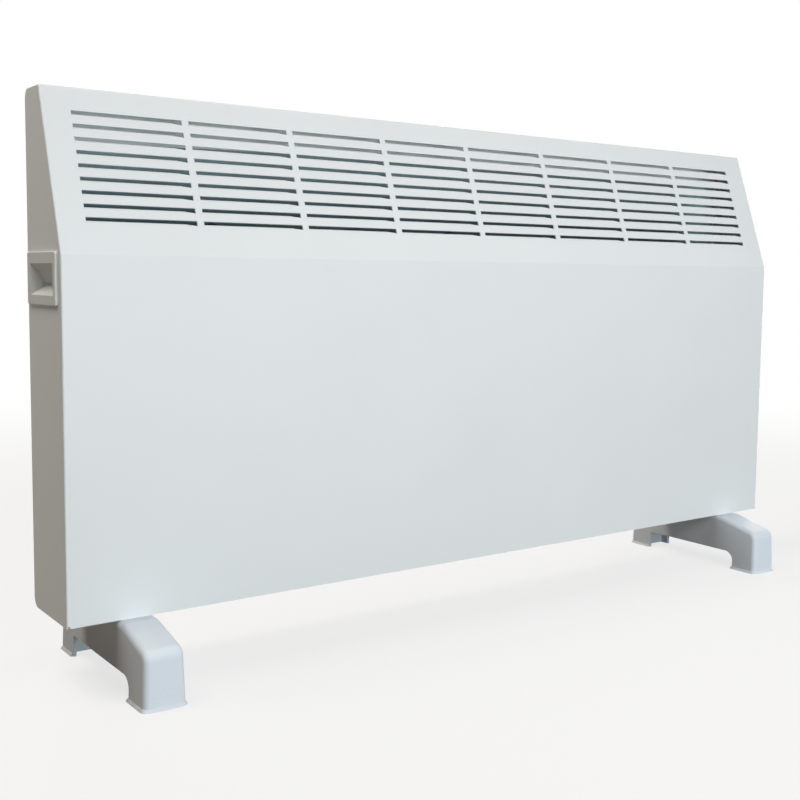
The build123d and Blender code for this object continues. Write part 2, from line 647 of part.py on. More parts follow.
def thermal_cutout():
    """The overheat cutout, a bimetal disc can on the shield above the elements."""
    can_y = SHIELD_FRONT_Y - SHEET - CUTOUT_DEPTH
    can = rod((CUTOUT_X, can_y, CUTOUT_Z), "y", CUTOUT_DEPTH, CUTOUT_RADIUS)
    half_x = CUTOUT_PLATE[0] / 2
    z0, z1 = CUTOUT_Z - CUTOUT_PLATE[1] / 2, CUTOUT_Z + CUTOUT_PLATE[1] / 2
    plate_y = SHIELD_FRONT_Y - SHEET
    can += block(CUTOUT_X - half_x, CUTOUT_X + half_x, plate_y, SHIELD_FRONT_Y, z0, z1)
    z0, z1 = CUTOUT_Z - CUTOUT_BLADE_WIDTH / 2, CUTOUT_Z + CUTOUT_BLADE_WIDTH / 2
    for x in (CUTOUT_X - CUTOUT_BLADE_OFFSET, CUTOUT_X + CUTOUT_BLADE_OFFSET):
        can += block(x - BLADE / 2, x + BLADE / 2, can_y - BLADE_LENGTH, can_y, z0, z1)
    return can


def back_screws():
    """Eight screws that hold the back panel."""
    places = [(x, z) for x in BACK_SCREW_XS for z in BACK_SCREW_ZS]
    return Part() + [pan_screw(x, BACK_Y, z, "-y", BACK_SCREW_LENGTH, BACK_SCREW_RADIUS) for x, z in places]


def trough(wall):
    """The grip's trough as a solid along Y, grown by a wall: deepest along a line below its middle."""
    face_x = -SIDE_X - GRIP_PROUD
    deep_x = face_x + TROUGH_DEPTH + wall
    deep_z = TROUGH_TOP_Z + DEEP_LINE - DEEP_LINE_DROP
    section = [
        (face_x, TROUGH_TOP_Z - TROUGH_HEIGHT - wall),
        (face_x, TROUGH_TOP_Z + wall),
        (deep_x, deep_z + wall),
        (deep_x, deep_z - DEEP_LINE - wall),
    ]
    half = TROUGH_LENGTH / 2 + wall
    return along(section, TROUGH_Y - half, TROUGH_Y + half)


def grip_hook(y, up):
    """A hook behind the frame that snaps over the edge of the side wall's window."""
    edge = TROUGH_Z + up * (TROUGH_HEIGHT / 2 + GRIP_WALL + WINDOW_CLEARANCE)
    stem_z = sorted(edge - up * drop for drop in HOOK_STEM)
    barb_z = sorted(edge - up * drop for drop in HOOK_BARB)
    y0, y1 = y - HOOK_WIDTH / 2, y + HOOK_WIDTH / 2
    stem = block(-SIDE_X - GRIP_PROUD / 4, -SIDE_X + HOOK_LENGTH, y0, y1, *stem_z)
    return stem + block(-INNER_X + HOOK_GRIP_GAP, -SIDE_X + HOOK_LENGTH - SHEET, y0, y1, *barb_z)


def grip():
    """The left grip: a proud frame round a trough for the fingertips, with hooks behind."""
    face_x = -SIDE_X - GRIP_PROUD
    outline = side_rectangle(face_x, GRIP_Y, GRIP_Z, GRIP_LENGTH, GRIP_HEIGHT, GRIP_CORNER_RADIUS)
    frame = extrude(outline, amount=GRIP_PROUD)
    frame = fillet(edges_at(frame, face_x), GRIP_EDGE_RADIUS)
    hooks = [grip_hook(y, up) for y in (GRIP_Y - HOOK_OFFSET, GRIP_Y + HOOK_OFFSET) for up in (-1, 1)]
    return frame + trough(GRIP_WALL) + hooks - Pos(-TOLERANCE, 0, 0) * trough(0)


def control_panel():
    """The moulded panel in the right side wall, with its openings for the controls."""
    face_x = SIDE_X + GRIP_PROUD
    outline = side_rectangle(SIDE_X, GRIP_Y, PANEL_Z, GRIP_LENGTH, PANEL_HEIGHT, PANEL_CORNER_RADIUS)
    plate = extrude(outline, amount=GRIP_PROUD)
    plate = fillet(edges_at(plate, face_x), PANEL_EDGE_RADIUS)
    skirt_x = SIDE_X - PANEL_SKIRT
    inset = 2 * (PANEL_OVERLAP + SKIRT_FIT)
    size = (GRIP_LENGTH - inset, PANEL_HEIGHT - inset)
    outer = side_rectangle(skirt_x, GRIP_Y, PANEL_Z, *size, PANEL_CORNER_RADIUS - SKIRT_FIT)
    plate += extrude(outer, amount=PANEL_SKIRT)
    inset += 2 * SKIRT_WALL
    size = (GRIP_LENGTH - inset, PANEL_HEIGHT - inset)
    inner = side_rectangle(skirt_x - CUT_PAST, GRIP_Y, PANEL_Z, *size, WINDOW_RADIUS)
    plate -= extrude(inner, amount=PANEL_BACK_X - skirt_x + CUT_PAST)
    size = (GRIP_LENGTH - 2 * PANEL_RIM, PANEL_HEIGHT - 2 * PANEL_RIM)
    recess = side_rectangle(PANEL_FACE_X, GRIP_Y, PANEL_Z, *size, RECESS_RADIUS)
    plate -= extrude(recess, amount=PANEL_RECESS + CUT_PAST)
    hole_x = PANEL_BACK_X - CUT_PAST
    hole_depth = PANEL_FLOOR + 2 * CUT_PAST
    plate -= rod((hole_x, GRIP_Y, KNOB_Z), "x", hole_depth, NECK_HOLE)
    for y in THERMOSTAT_SCREW_YS:
        plate -= rod((hole_x, y, KNOB_Z), "x", hole_depth, THERMOSTAT_SCREW_RADIUS + SHEET_FIT)
    half_y = SWITCH_WIDTH / 2 + SWITCH_CUTOUT_FIT
    half_z = SWITCH_HEIGHT / 2 + SWITCH_CUTOUT_FIT
    z0, z1 = SWITCH_Z - half_z, SWITCH_Z + half_z
    for y in SWITCH_YS:
        plate -= block(hole_x, PANEL_FACE_X + CUT_PAST, y - half_y, y + half_y, z0, z1)
    clip_x = INNER_X - CLIP_FIT
    for z in CLIP_ZS:
        for side in (-1, 1):
            y = GRIP_Y + side * (GRIP_LENGTH / 2 - CLIP_THICKNESS)
            y0, y1 = y - CLIP_THICKNESS / 2, y + CLIP_THICKNESS / 2
            plate += block(clip_x - CLIP_DEPTH, clip_x, y0, y1, z - CLIP_LENGTH / 2, z + CLIP_LENGTH / 2)
    return plate


def thermostat():
    """The room thermostat behind the control panel, with a neck that its shaft turns in."""
    half = THERMOSTAT_SIZE / 2
    back_x = PANEL_BACK_X - THERMOSTAT_DEPTH
    body = block(back_x, PANEL_BACK_X, GRIP_Y - half, GRIP_Y + half, KNOB_Z - half, KNOB_Z + half)
    body = fillet(body.edges().filter_by(Axis.X), THERMOSTAT_CORNER)
    body += rod((PANEL_BACK_X, GRIP_Y, KNOB_Z), "x", PANEL_FLOOR, THERMOSTAT_NECK)
    bore_x = PANEL_BACK_X - THERMOSTAT_BORE_DEPTH
    bore_length = THERMOSTAT_BORE_DEPTH + PANEL_FLOOR + CUT_PAST
    body -= rod((bore_x, GRIP_Y, KNOB_Z), "x", bore_length, SHAFT_RADIUS + RUNNING_CLEARANCE)
    pilot_x = PANEL_BACK_X - THERMOSTAT_SCREW_DEPTH - CUT_PAST
    for y in THERMOSTAT_SCREW_YS:
        pilot = THERMOSTAT_SCREW_RADIUS + RUNNING_CLEARANCE
        body -= rod((pilot_x, y, KNOB_Z), "x", THERMOSTAT_SCREW_DEPTH + 2 * CUT_PAST, pilot)
    y0, y1 = GRIP_Y - THERMOSTAT_BLADE_WIDTH / 2, GRIP_Y + THERMOSTAT_BLADE_WIDTH / 2
    for z in THERMOSTAT_BLADE_ZS:
        body += block(back_x - BLADE_LENGTH, back_x, y0, y1, z - BLADE / 2, z + BLADE / 2)
    return body


def thermostat_screws():
    """Two screws through the panel, under the knob."""
    length = THERMOSTAT_SCREW_DEPTH + PANEL_FLOOR
    x = PANEL_BACK_X - THERMOSTAT_SCREW_DEPTH
    return Part() + [rod((x, y, KNOB_Z), "x", length, THERMOSTAT_SCREW_RADIUS) for y in THERMOSTAT_SCREW_YS]


def past_the_flat(x0, x1, height):
    """The slab above the shaft's flat, at a height over its axis."""
    half = 2 * SHAFT_RADIUS
    return block(x0, x1, GRIP_Y - half, GRIP_Y + half, KNOB_Z + height, KNOB_Z + half)


def thermostat_shaft():
    """The spindle, flatted where the knob grips it."""
    end = KNOB_TOP_X - SHAFT_TIP_GAP
    shaft = rod((SHAFT_START_X, GRIP_Y, KNOB_Z), "x", end - SHAFT_START_X, SHAFT_RADIUS)
    return shaft - past_the_flat(KNOB_BASE_X - HOOK_GRIP_GAP, end + CUT_PAST, SHAFT_FLAT)


def thermostat_knob():
    """A skirted knob with fluted sides and a pointer groove, bored for the flatted shaft."""
    body_x = KNOB_BASE_X + KNOB_SKIRT
    skirt = rod((KNOB_BASE_X, GRIP_Y, KNOB_Z), "x", KNOB_SKIRT, KNOB_RADIUS)
    base = Plane(origin=(body_x, GRIP_Y, KNOB_Z), x_dir=(0, 1, 0), z_dir=(1, 0, 0))
    body = extrude(base * Circle(KNOB_BODY_RADIUS), amount=KNOB_TOP_X - body_x, taper=KNOB_DRAFT)
    body = fillet(edges_at(body, KNOB_TOP_X), KNOB_EDGE_RADIUS)
    flutes = []
    for i in range(KNOB_FLUTES):
        angle = radians(i * 360 / KNOB_FLUTES)
        y = GRIP_Y + FLUTE_CENTRE_RADIUS * cos(angle)
        z = KNOB_Z + FLUTE_CENTRE_RADIUS * sin(angle)
        flutes.append(rod((body_x, y, z), "x", KNOB_TOP_X - body_x + CUT_PAST, FLUTE_RADIUS))
    knob = skirt + (body - flutes)
    y0, y1 = GRIP_Y - POINTER_WIDTH / 2, GRIP_Y + POINTER_WIDTH / 2
    z0, z1 = (KNOB_Z + reach for reach in POINTER_REACH)
    knob -= block(KNOB_TOP_X - POINTER_DEPTH, KNOB_TOP_X + CUT_PAST, y0, y1, z0, z1)
    bore_x = KNOB_BASE_X - CUT_PAST
    bore = rod((bore_x, GRIP_Y, KNOB_Z), "x", KNOB_TOP_X - KNOB_ROOF - bore_x, SHAFT_RADIUS + KNOB_FIT)
    return knob - (bore - past_the_flat(bore_x, KNOB_TOP_X, SHAFT_FLAT + KNOB_FIT))


def switch_body(y):
    """A snap-in switch housing with a round-bottomed well for its rocker."""
    face = PANEL_FACE_X
    half_y, half_z = SWITCH_WIDTH / 2, SWITCH_HEIGHT / 2
    body = block(face - SWITCH_DEPTH, face, y - half_y, y + half_y, SWITCH_Z - half_z, SWITCH_Z + half_z)
    half_y, half_z = BEZEL_WIDTH / 2, BEZEL_HEIGHT / 2
    body += block(face, face + BEZEL_PROUD, y - half_y, y + half_y, SWITCH_Z - half_z, SWITCH_Z + half_z)
    well = ROCKER_RADIUS + ROCKER_CLEARANCE
    y0, y1 = y - WELL_WIDTH / 2, y + WELL_WIDTH / 2
    body -= rod((PIVOT_X, y0, SWITCH_Z), "y", WELL_WIDTH, well)
    body -= block(PIVOT_X, face + BEZEL_PROUD + CUT_PAST, y0, y1, SWITCH_Z - well, SWITCH_Z + well)
    socket = (PIVOT_X, y - PIVOT_SOCKET / 2, SWITCH_Z)
    return body - rod(socket, "y", PIVOT_SOCKET, PIVOT_RADIUS + RUNNING_CLEARANCE)


def rocker(y):
    """A rocker key, drawn level and then tilted to its off position."""
    key = rod((0, -ROCKER_WIDTH / 2, 0), "y", ROCKER_WIDTH, ROCKER_RADIUS)
    reach = 2 * ROCKER_RADIUS
    key -= block(-reach, -ROCKER_BACK, -ROCKER_WIDTH, ROCKER_WIDTH, -reach, reach)
    rise = ROCKER_CROWN + reach * tan(radians(ROCKER_TILT))
    above = [(ROCKER_CROWN, 0), (rise, reach), (rise + reach, reach), (rise + reach, -reach), (rise, -reach)]
    key -= along(above, -ROCKER_WIDTH, ROCKER_WIDTH)
    key += rod((0, -PIVOT_LENGTH / 2, 0), "y", PIVOT_LENGTH, PIVOT_RADIUS)
    return Pos(PIVOT_X, y, SWITCH_Z) * Rot(0, ROCKER_TILT, 0) * key


def switch_tabs():
    """The brass blade terminals of both switches."""
    back = PANEL_FACE_X - SWITCH_DEPTH
    tabs = Part()
    for y in SWITCH_YS:
        for z in TAB_ZS:
            y0, y1 = y - TAB_WIDTH / 2, y + TAB_WIDTH / 2
            tabs += block(back - BLADE_LENGTH, back, y0, y1, z - BLADE / 2, z + BLADE / 2)
    return tabs


def partition_block(start_x, size, y, z):
    """A box of the given size, standing on a plane of the partition's right side."""
    depth, width, height = size
    return block(start_x, start_x + depth, y - width / 2, y + width / 2, z - height / 2, z + height / 2)


def terminal_block():
    """A three-way block on the partition, where the supply cable ends."""
    base_x = PARTITION_X + SHEET
    tower_x = base_x + TERMINAL_BASE[0]
    well_x = tower_x + TERMINAL_TOWER[0] - TERMINAL_WELL[0]
    body = partition_block(base_x, TERMINAL_BASE, 0, TERMINAL_Z)
    for y in TERMINAL_YS:
        body += partition_block(tower_x, TERMINAL_TOWER, y, TERMINAL_Z)
        for z in TERMINAL_WELL_ZS:
            body -= rod((well_x, y, z), "x", TERMINAL_WELL[0] + CUT_PAST, TERMINAL_WELL[1])
    return body


def tilt_switch():
    """The switch that cuts the power if the heater is knocked over."""
    base_x = PARTITION_X + SHEET
    body = partition_block(base_x, TILT_BODY, 0, TILT_Z)
    body = fillet(body.edges().filter_by(Axis.X), TILT_CORNER)
    return body + partition_block(base_x, TILT_EAR, 0, TILT_Z)


def foot_block(inset):
    """A drafted block under level crown and sloping shoulders, inset from the foot's outer walls."""
    base = Rectangle(FOOT_WIDTH - 2 * inset, FOOT_LENGTH - 2 * inset)
    drafted = extrude(base, amount=2 * BOTTOM_Z, taper=FOOT_DRAFT)
    end = FOOT_LENGTH / 2 + LIP
    fall = (BOTTOM_Z - KNEE_Z) / (FOOT_LENGTH / 2 - CROWN_Y)
    top = BOTTOM_Z - inset
    shoulder = top - fall * (end - CROWN_Y)
    low = -CUT_PAST
    outline = [(-end, low), (-end, shoulder), (-CROWN_Y, top), (CROWN_Y, top), (end, shoulder), (end, low)]
    return drafted & across(outline, -FOOT_WIDTH, FOOT_WIDTH)


def rounded_foot_block(inset):
    """The block with rounded knees, and one radius all round the outline of both its sides."""
    solid = foot_block(inset)
    knees = [e for e in solid.edges().filter_by(Axis.X) if abs(e.center().Y) > ARCH_Y and e.center().Z > 1]
    solid = fillet(knees, KNEE_RADIUS - inset)
    crosswise = solid.edges().filter_by(Axis.X)
    outline = [e for e in solid.edges() if e not in crosswise and e.center().Z > 1]
    return fillet(outline, FOOT_CORNER_RADIUS - inset)


def foot_arch(front_y, rear_y):
    """The opening between the two pads, widely rounded at the front and tight at the rear."""
    low = -CUT_PAST
    arch = Polygon((front_y, low), (front_y, ARCH_Z), (rear_y, ARCH_Z), (rear_y, low), align=None)
    for y, radius in ((front_y, ARCH_FRONT_RADIUS), (rear_y, ARCH_REAR_RADIUS)):
        corner = [v for v in arch.vertices() if abs(v.X - y) < TOLERANCE and v.Y > 0]
        arch = fillet(corner, radius)
    return extrude(Plane.YZ.offset(-FOOT_WIDTH) * arch, amount=2 * FOOT_WIDTH, dir=(1, 0, 0))


def foot():
    """A hollow moulded foot, open below: crown, two pads with a flared lip, ribs and screw bosses.

    The lip turns in round the front pad's inner end, and stops short of the rear pad's.
    """
    solid = rounded_foot_block(0)
    inside = Part()
    for side in (-1, 1):
        y0, y1 = side * RIB_Y - RIB_THICKNESS / 2, side * RIB_Y + RIB_THICKNESS / 2
        inside += block(-FOOT_WIDTH / 2, FOOT_WIDTH / 2, y0, y1, RIB_BOTTOM_Z, KNEE_Z)
    for y in FOOT_SCREW_YS:
        inside += rod((0, y, BOSS_BOTTOM_Z), "z", BOTTOM_Z - SHEET - BOSS_BOTTOM_Z, BOSS_RADIUS)
    shape = solid - rounded_foot_block(FOOT_WALL) + (inside & solid) - foot_arch(-ARCH_Y, ARCH_Y)
    lip_outline = RectangleRounded(FOOT_WIDTH + 2 * LIP, FOOT_LENGTH + 2 * LIP, FOOT_CORNER_RADIUS + LIP)
    lip = extrude(lip_outline, amount=LIP_HEIGHT, taper=LIP_FLARE) - rounded_foot_block(FOOT_WALL / 2)
    shape += lip - foot_arch(LIP - ARCH_Y, LIP + ARCH_Y)
    half_x, half_y = LEVELLER[0] / 2, LEVELLER[1] / 2
    rear_y = FOOT_SCREW_YS[1]
    shape += block(-half_x, half_x, rear_y - half_y, rear_y + half_y, BOTTOM_Z - SHEET, BOTTOM_Z + SHEET)
    for y in FOOT_SCREW_YS:
        start = (0, y, BOSS_BOTTOM_Z - CUT_PAST)
        shape -= rod(start, "z", BOTTOM_Z - BOSS_BOTTOM_Z + 4 * SHEET, FOOT_SCREW_HOLE)
    return shape


def foot_places():
    """Where the foot screws stand, under the case."""
    return [(end * FOOT_X, y) for end in (-1, 1) for y in FOOT_SCREW_YS]


def foot_screws():
    """Four screws up through the feet into the base."""
    return Part() + [
        pan_screw(x, y, BOSS_BOTTOM_Z, "+z", FOOT_SCREW_LENGTH, FOOT_SCREW_RADIUS) for x, y in foot_places()
    ]


def foot_nuts():
    """Four hexagon nuts on the base, over the foot screws."""
    nut = extrude(RegularPolygon(NUT_RADIUS, 6) - Circle(NUT_BORE), amount=NUT_HEIGHT)
    return Part() + [Pos(x, y, BOTTOM_Z + 2 * SHEET) * nut for x, y in foot_places()]


def build_parts():
    """Every piece of the heater, by its name."""
    left_grip = grip()
    moulded_foot = foot()
    return {
        "front_panel": front_panel(),
        "back_panel": back_panel(),
        "bottom_plate": bottom_plate(),
        "cable_bush": cable_bush(),
        "heat_shield": heat_shield(),
        "partition": partition(),
        "heater_lower": heater(HEATER_ZS[0]),
        "heater_upper": heater(HEATER_ZS[1]),
        "heater_core_lower": heater_core(HEATER_ZS[0]),
        "heater_core_upper": heater_core(HEATER_ZS[1]),
        "heater_bracket_left": heater_bracket(-1),
        "heater_bracket_right": heater_bracket(1),
        "ceramic_bushes": ceramic_bushes(),
        "bracket_screws": bracket_screws(),
        "thermal_cutout": thermal_cutout(),
        "left_grip": left_grip,
        "right_grip": mirror(left_grip, Plane.YZ),
        "control_panel": control_panel(),
        "thermostat": thermostat(),
        "thermostat_screws": thermostat_screws(),
        "thermostat_shaft": thermostat_shaft(),
        "thermostat_knob": thermostat_knob(),
        "switch_body_front": switch_body(SWITCH_YS[0]),
        "switch_body_rear": switch_body(SWITCH_YS[1]),
        "rocker_front": rocker(SWITCH_YS[0]),
        "rocker_rear": rocker(SWITCH_YS[1]),
        "switch_tabs": switch_tabs(),
        "terminal_block": terminal_block(),
        "tilt_switch": tilt_switch(),
        "foot_left": Pos(-FOOT_X, 0, 0) * moulded_foot,
        "foot_right": Pos(FOOT_X, 0, 0) * moulded_foot,
        "foot_screws": foot_screws(),
        "foot_nuts": foot_nuts(),
        "back_screws": back_screws(),
    }


os.makedirs("parts", exist_ok=True)
for name, piece in build_parts().items():
    export_step(piece, f"parts/{name}.step")
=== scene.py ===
import json
from math import cos, pi, radians, sin

import bmesh
import bpy
from mathutils import Matrix, Vector


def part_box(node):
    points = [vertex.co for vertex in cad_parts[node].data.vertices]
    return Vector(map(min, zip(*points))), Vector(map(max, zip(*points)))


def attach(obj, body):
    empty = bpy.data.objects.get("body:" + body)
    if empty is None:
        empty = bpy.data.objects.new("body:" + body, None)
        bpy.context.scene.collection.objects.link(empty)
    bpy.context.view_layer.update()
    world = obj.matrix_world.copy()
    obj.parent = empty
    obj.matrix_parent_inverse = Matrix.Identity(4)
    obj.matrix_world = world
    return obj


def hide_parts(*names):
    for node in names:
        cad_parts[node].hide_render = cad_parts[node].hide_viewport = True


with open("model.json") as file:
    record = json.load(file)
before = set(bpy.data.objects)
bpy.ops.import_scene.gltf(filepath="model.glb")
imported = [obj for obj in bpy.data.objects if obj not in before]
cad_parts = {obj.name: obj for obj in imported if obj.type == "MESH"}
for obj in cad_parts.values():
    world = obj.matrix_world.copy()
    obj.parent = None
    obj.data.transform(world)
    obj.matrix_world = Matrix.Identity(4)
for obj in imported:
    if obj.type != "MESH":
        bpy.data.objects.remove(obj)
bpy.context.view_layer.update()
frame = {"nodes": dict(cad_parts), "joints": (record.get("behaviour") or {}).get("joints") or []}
nodes = frame["nodes"]


# Case.  Folded sheet steel, 1 mm thick: a front with its louvred slope and sides, a back and a base.
# Powder coated and stoved, which gives a satin white skin with a faint orange peel, whose tone and
# gloss drift a little over the sheet.  The back is screwed to the front, and the base to the feet.
def linear(hex_colour):
    """An sRGB hex colour as linear RGBA."""
    channels = [int(hex_colour[i : i + 2], 16) / 255 for i in (1, 3, 5)]
    return [c / 12.92 if c <= 0.04045 else ((c + 0.055) / 1.055) ** 2.4 for c in channels] + [1.0]


# A Mix node has an A, a B and a result for each type of data, so its colour sockets go by number.
MIX_A, MIX_B, MIX_RESULT = 6, 7, 2


def add_node(tree, kind, settings=None, values=None, links=None):
    """A shader node with its settings, its input values, and links from (node, output) to inputs."""
    node = tree.nodes.new(kind)
    for name, value in (settings or {}).items():
        setattr(node, name, value)
    for name, value in (values or {}).items():
        node.inputs[name].default_value = value
    for name, (source, output) in (links or {}).items():
        tree.links.new(source.outputs[output], node.inputs[name])
    return node


def new_finish(name, shader_values):
    """A material with its shader and the object's own coordinates, in metres."""
    finish = bpy.data.materials.new(name)
    finish.use_nodes = True
    tree = finish.node_tree
    shader = tree.nodes["Principled BSDF"]
    for socket, value in shader_values.items():
        shader.inputs[socket].default_value = value
    return finish, tree, shader, add_node(tree, "ShaderNodeTexCoord")


def per_metre(size_mm):
    """The texture scale whose features are this many millimetres across."""
    return 1000 / size_mm


def dress(finish, *names):
    """Gives CAD nodes a finish."""
    for name in names:
        for material_slot in nodes[name].material_slots:
            material_slot.material = finish


PEEL_MM = 1.6
DRIFT_MM = 120
# All that gloss can mirror here is a white studio, so the pale finishes have a low specular level.
coat, tree, shader, place = new_finish("powder_coated_steel", {"IOR": 1.5, "Specular IOR Level": 0.3})
peel = add_node(
    tree,
    "ShaderNodeTexNoise",
    values={"Scale": per_metre(PEEL_MM), "Detail": 3.0},
    links={"Vector": (place, "Object")},
)
bump = add_node(
    tree,
    "ShaderNodeBump",
    values={"Strength": 0.12, "Distance": 0.00005},
    links={"Height": (peel, "Fac")},
)
drift = add_node(
    tree,
    "ShaderNodeTexNoise",
    values={"Scale": per_metre(DRIFT_MM), "Detail": 2.0},
    links={"Vector": (place, "Object")},
)
gloss = add_node(
    tree,
    "ShaderNodeMapRange",
    values={"To Min": 0.40, "To Max": 0.48},
    links={"Value": (drift, "Fac")},
)
white = add_node(
    tree,
    "ShaderNodeMix",
    settings={"data_type": "RGBA"},
    values={MIX_A: linear("#E7EAEB"), MIX_B: linear("#EDF0F1")},
    links={"Factor": (drift, "Fac")},
)
tree.links.new(white.outputs[MIX_RESULT], shader.inputs["Base Color"])
tree.links.new(bump.outputs["Normal"], shader.inputs["Normal"])
tree.links.new(gloss.outputs["Result"], shader.inputs["Roughness"])
dress(coat, "front_panel", "back_panel", "bottom_plate")


# Heat shield.  Aluminised steel sheet between the elements and the back.  The coating is dull and
# blue-grey, with a fine spangle.  Its colour holds painted shade that darkens it towards the bottom,
# for the deep inside of the case, and painted light that pales it past the partition at the right.
SPANGLE_MM = 2.2
PAINTED_SHADE_BELOW_Z = 0.370
PAINTED_SHADE_ENDS_Z = 0.410
PAINTED_LIGHT_START_X = 0.315
PAINTED_LIGHT_FULL_X = 0.36
aluminised, tree, shader, place = new_finish("aluminised_steel", {"Metallic": 0.4, "IOR": 1.5})
spangle = add_node(
    tree,
    "ShaderNodeTexVoronoi",
    values={"Scale": per_metre(SPANGLE_MM), "Randomness": 1.0},
    links={"Vector": (place, "Object")},
)
axes = add_node(tree, "ShaderNodeSeparateXYZ", links={"Vector": (place, "Object")})
# Painted shade: the shield's colour darkens towards the bottom, between these two heights.
height = add_node(
    tree,
    "ShaderNodeMapRange",
    values={"From Min": PAINTED_SHADE_BELOW_Z, "From Max": PAINTED_SHADE_ENDS_Z},
    links={"Value": (axes, "Z")},
)
# Painted light: the shield's colour turns pale past the partition at the right end.
painted_light_at_right = add_node(
    tree,
    "ShaderNodeMapRange",
    values={"From Min": PAINTED_LIGHT_START_X, "From Max": PAINTED_LIGHT_FULL_X},
    links={"Value": (axes, "X")},
)
# Painted shade: dark blue-grey low on the shield, paler blue-grey higher up.
painted_shade_by_height = add_node(
    tree,
    "ShaderNodeMix",
    settings={"data_type": "RGBA"},
    values={MIX_A: linear("#4E646A"), MIX_B: linear("#74898D")},
    links={"Factor": (height, "Result")},
)
# The pale colour mixed in here is painted light, over the painted shade by height.
painted_shade_and_light = add_node(
    tree,
    "ShaderNodeMix",
    settings={"data_type": "RGBA"},
    values={MIX_B: linear("#ACCACA")},
    links={"Factor": (painted_light_at_right, "Result"), MIX_A: (painted_shade_by_height, MIX_RESULT)},
)
grain = add_node(
    tree,
    "ShaderNodeMapRange",
    values={"To Min": 0.9, "To Max": 1.1},
    links={"Value": (spangle, "Color")},
)
grey = add_node(
    tree,
    "ShaderNodeMix",
    settings={"data_type": "RGBA", "blend_type": "MULTIPLY"},
    values={"Factor": 1.0},
    links={MIX_A: (painted_shade_and_light, MIX_RESULT), MIX_B: (grain, "Result")},
)
gloss = add_node(
    tree,
    "ShaderNodeMapRange",
    values={"To Min": 0.42, "To Max": 0.60},
    links={"Value": (spangle, "Color")},
)
tree.links.new(grey.outputs[MIX_RESULT], shader.inputs["Base Color"])
tree.links.new(gloss.outputs["Result"], shader.inputs["Roughness"])
dress(aluminised, "heat_shield")


# Partition and element brackets.  Bright zinc-plated steel sheet, pressed.  The plating has soft
# clouds of a slightly different gloss.
CLOUD_MM = 14
zinc, tree, shader, place = new_finish(
    "bright_zinc_plate", {"Base Color": linear("#B9BEC4"), "Metallic": 1.0}
)
cloud = add_node(
    tree,
    "ShaderNodeTexNoise",
    values={"Scale": per_metre(CLOUD_MM), "Detail": 5.0},
    links={"Vector": (place, "Object")},
)
gloss = add_node(
    tree,
    "ShaderNodeMapRange",
    values={"To Min": 0.28, "To Max": 0.46},
    links={"Value": (cloud, "Fac")},
)
tree.links.new(gloss.outputs["Result"], shader.inputs["Roughness"])
dress(zinc, "partition", "heater_bracket_left", "heater_bracket_right")


# Heating elements.  Finned aluminium, cast round the steel cores and left as it comes from the die,
# whose machining marks run along it as fine lines.
DIE_LINE_MM = 0.8
DRAWN_OUT = 0.01
aluminium, tree, shader, place = new_finish(
    "die_cast_aluminium", {"Base Color": linear("#C6C8CA"), "Metallic": 1.0, "Roughness": 0.42}
)
stretch = add_node(
    tree,
    "ShaderNodeMapping",
    values={"Scale": (DRAWN_OUT, 1.0, 1.0)},
    links={"Vector": (place, "Object")},
)
lines = add_node(
    tree,
    "ShaderNodeTexNoise",
    values={"Scale": per_metre(DIE_LINE_MM), "Detail": 2.0},
    links={"Vector": (stretch, "Vector")},
)
bump = add_node(
    tree,
    "ShaderNodeBump",
    values={"Strength": 0.35, "Distance": 0.0001},
    links={"Height": (lines, "Fac")},
)
tree.links.new(bump.outputs["Normal"], shader.inputs["Normal"])
dress(aluminium, "heater_lower", "heater_upper")


# Element cores, thermal cutout, inner screws and nuts.  Drawn or turned steel, plain or zinc plated,
# with a fine turned grain, drawn coarser than it is to show.
TURNED_MM = 0.5
steel, tree, shader, place = new_finish(
    "turned_steel", {"Base Color": linear("#A9ACB0"), "Metallic": 1.0, "Roughness": 0.36}
)
grain = add_node(
    tree,
    "ShaderNodeTexNoise",
    values={"Scale": per_metre(TURNED_MM), "Detail": 3.0},
    links={"Vector": (place, "Object")},
)
bump = add_node(
    tree,
    "ShaderNodeBump",
    values={"Strength": 0.15, "Distance": 0.00005},
    links={"Height": (grain, "Fac")},
)
tree.links.new(bump.outputs["Normal"], shader.inputs["Normal"])
dress(
    steel,
    "heater_core_lower",
    "heater_core_upper",
    "bracket_screws",
    "thermal_cutout",
    "thermostat_screws",
    "foot_screws",
    "foot_nuts",
)


# Back panel screws.  Eight zinc-plated steel pan heads with a cross recess, cold headed and driven
# through the back panel into the flanges of the case.  Each stopped at its own angle.
SCREW_PLACES = [(x, z) for x in (-0.352, -0.117, 0.117, 0.352) for z in (0.0635, 0.448)]
SEAT_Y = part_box("back_panel")[1].y
SCREW_TURN = 0.7
HEAD_RADIUS = 0.003
HEAD_HEIGHT = 0.00135
CROWN_FALL = 0.12
EDGE_FALL = 0.45
SHANK_RADIUS = 0.0015
SHANK_LENGTH = 0.007
TIP_RADIUS = 0.0004
ARM_HALF_WIDTH = 0.00034
ARM_REACH = 0.00135
RECESS_DEPTH = 0.00075
SQUARE_REACH = 0.0016
# The lines of the head's grid, from its middle: close together at the sides and ends of the cross.
GRID_MM = [0.0, 0.34, 0.44, 0.9, 1.35, 1.55, 1.8, 2.1, 2.4, 2.7, 3.0]
ROUNDING = 1e-9


def head_point(across, up):
    """A point of the head's top: a square grid drawn in to a disc, domed, with the cross pressed in."""
    reach = max(abs(across), abs(up))
    radius = Vector((across, up)).length
    share = max(0.0, (reach - SQUARE_REACH) / (HEAD_RADIUS - SQUARE_REACH))
    pull = 1 - share + share * reach / radius if radius else 1.0
    rim = min(1.0, radius * pull / HEAD_RADIUS)
    height = HEAD_HEIGHT * (1 - CROWN_FALL * rim**2 - EDGE_FALL * rim**10)
    narrow, wide = sorted((abs(across), abs(up)))
    if narrow <= ARM_HALF_WIDTH + ROUNDING and wide <= ARM_REACH + ROUNDING:
        height -= RECESS_DEPTH
    return Vector((across * pull, up * pull, height))


